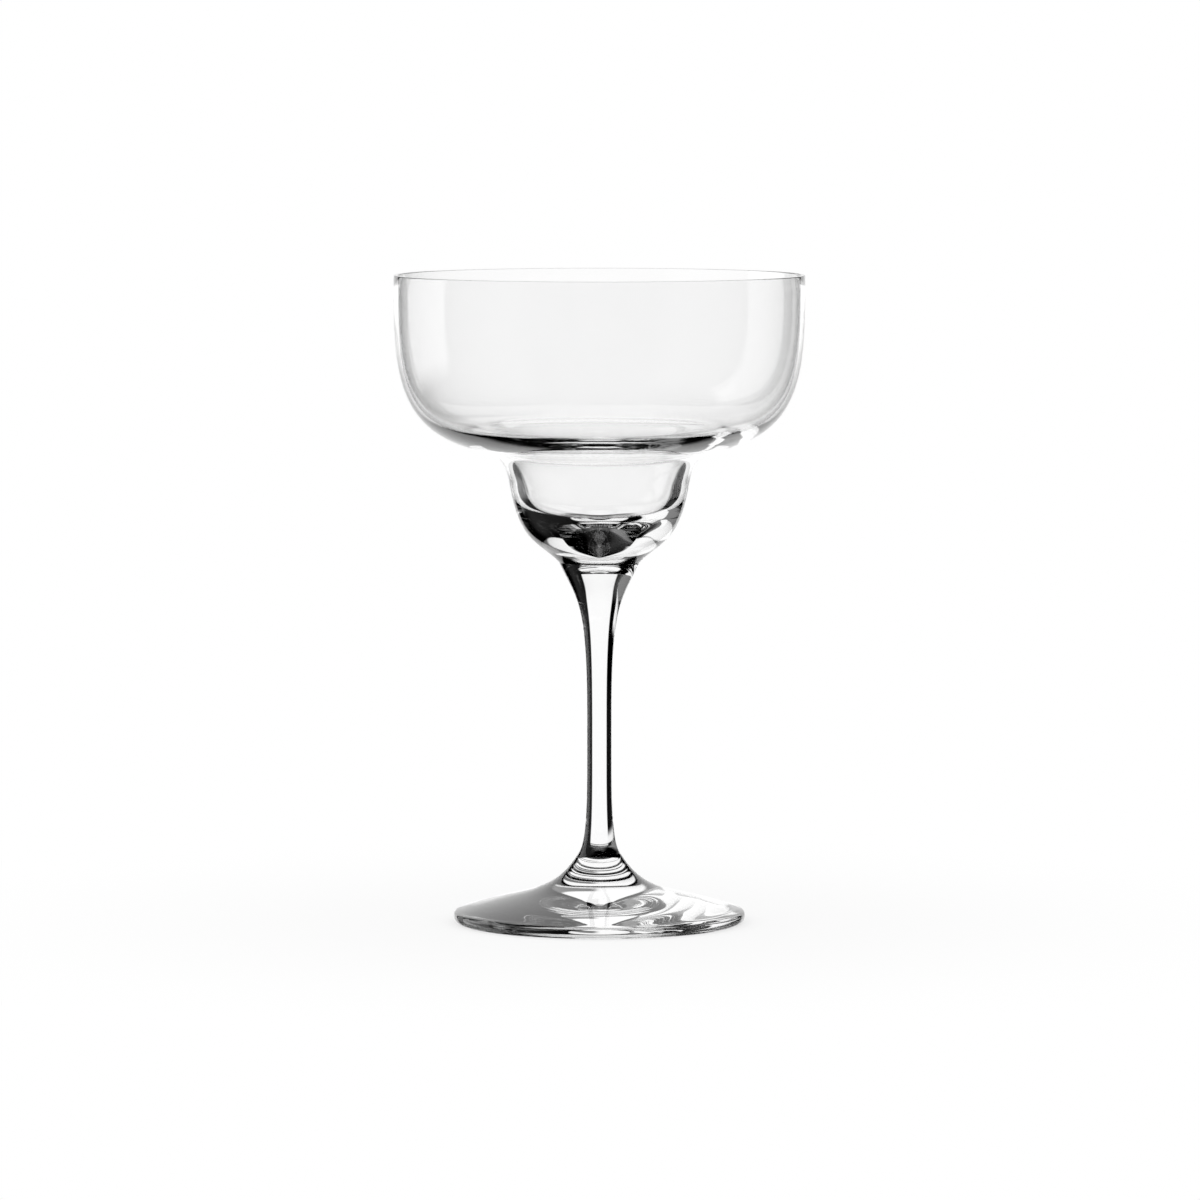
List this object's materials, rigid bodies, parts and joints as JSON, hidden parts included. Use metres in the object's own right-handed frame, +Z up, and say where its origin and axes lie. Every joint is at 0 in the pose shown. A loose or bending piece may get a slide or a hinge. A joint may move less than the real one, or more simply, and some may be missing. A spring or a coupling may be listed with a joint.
{
  "type": "margarita glass",
  "caption": "Clear stemmed margarita glass: a wide upper bowl stepped into a narrow lower cup, on a slim drawn stem and a flared round foot.",
  "frame": {"origin": "centre of the foot's rest ring, on the surface that the glass stands on", "axes": "+Z up along the stem, through the middle of the foot, the stem and the bowl; X and Y are alike, because every piece is turned about Z"},
  "size_m": [0.1102, 0.1102, 0.1742],
  "materials": {
    "clear_glass": "clear blown glass, polished, with a fire-polished rim"
  },
  "bodies": {
    "root": {"bowl": "clear_glass", "stem": "clear_glass", "foot": "clear_glass"}
  },
  "joints": []
}
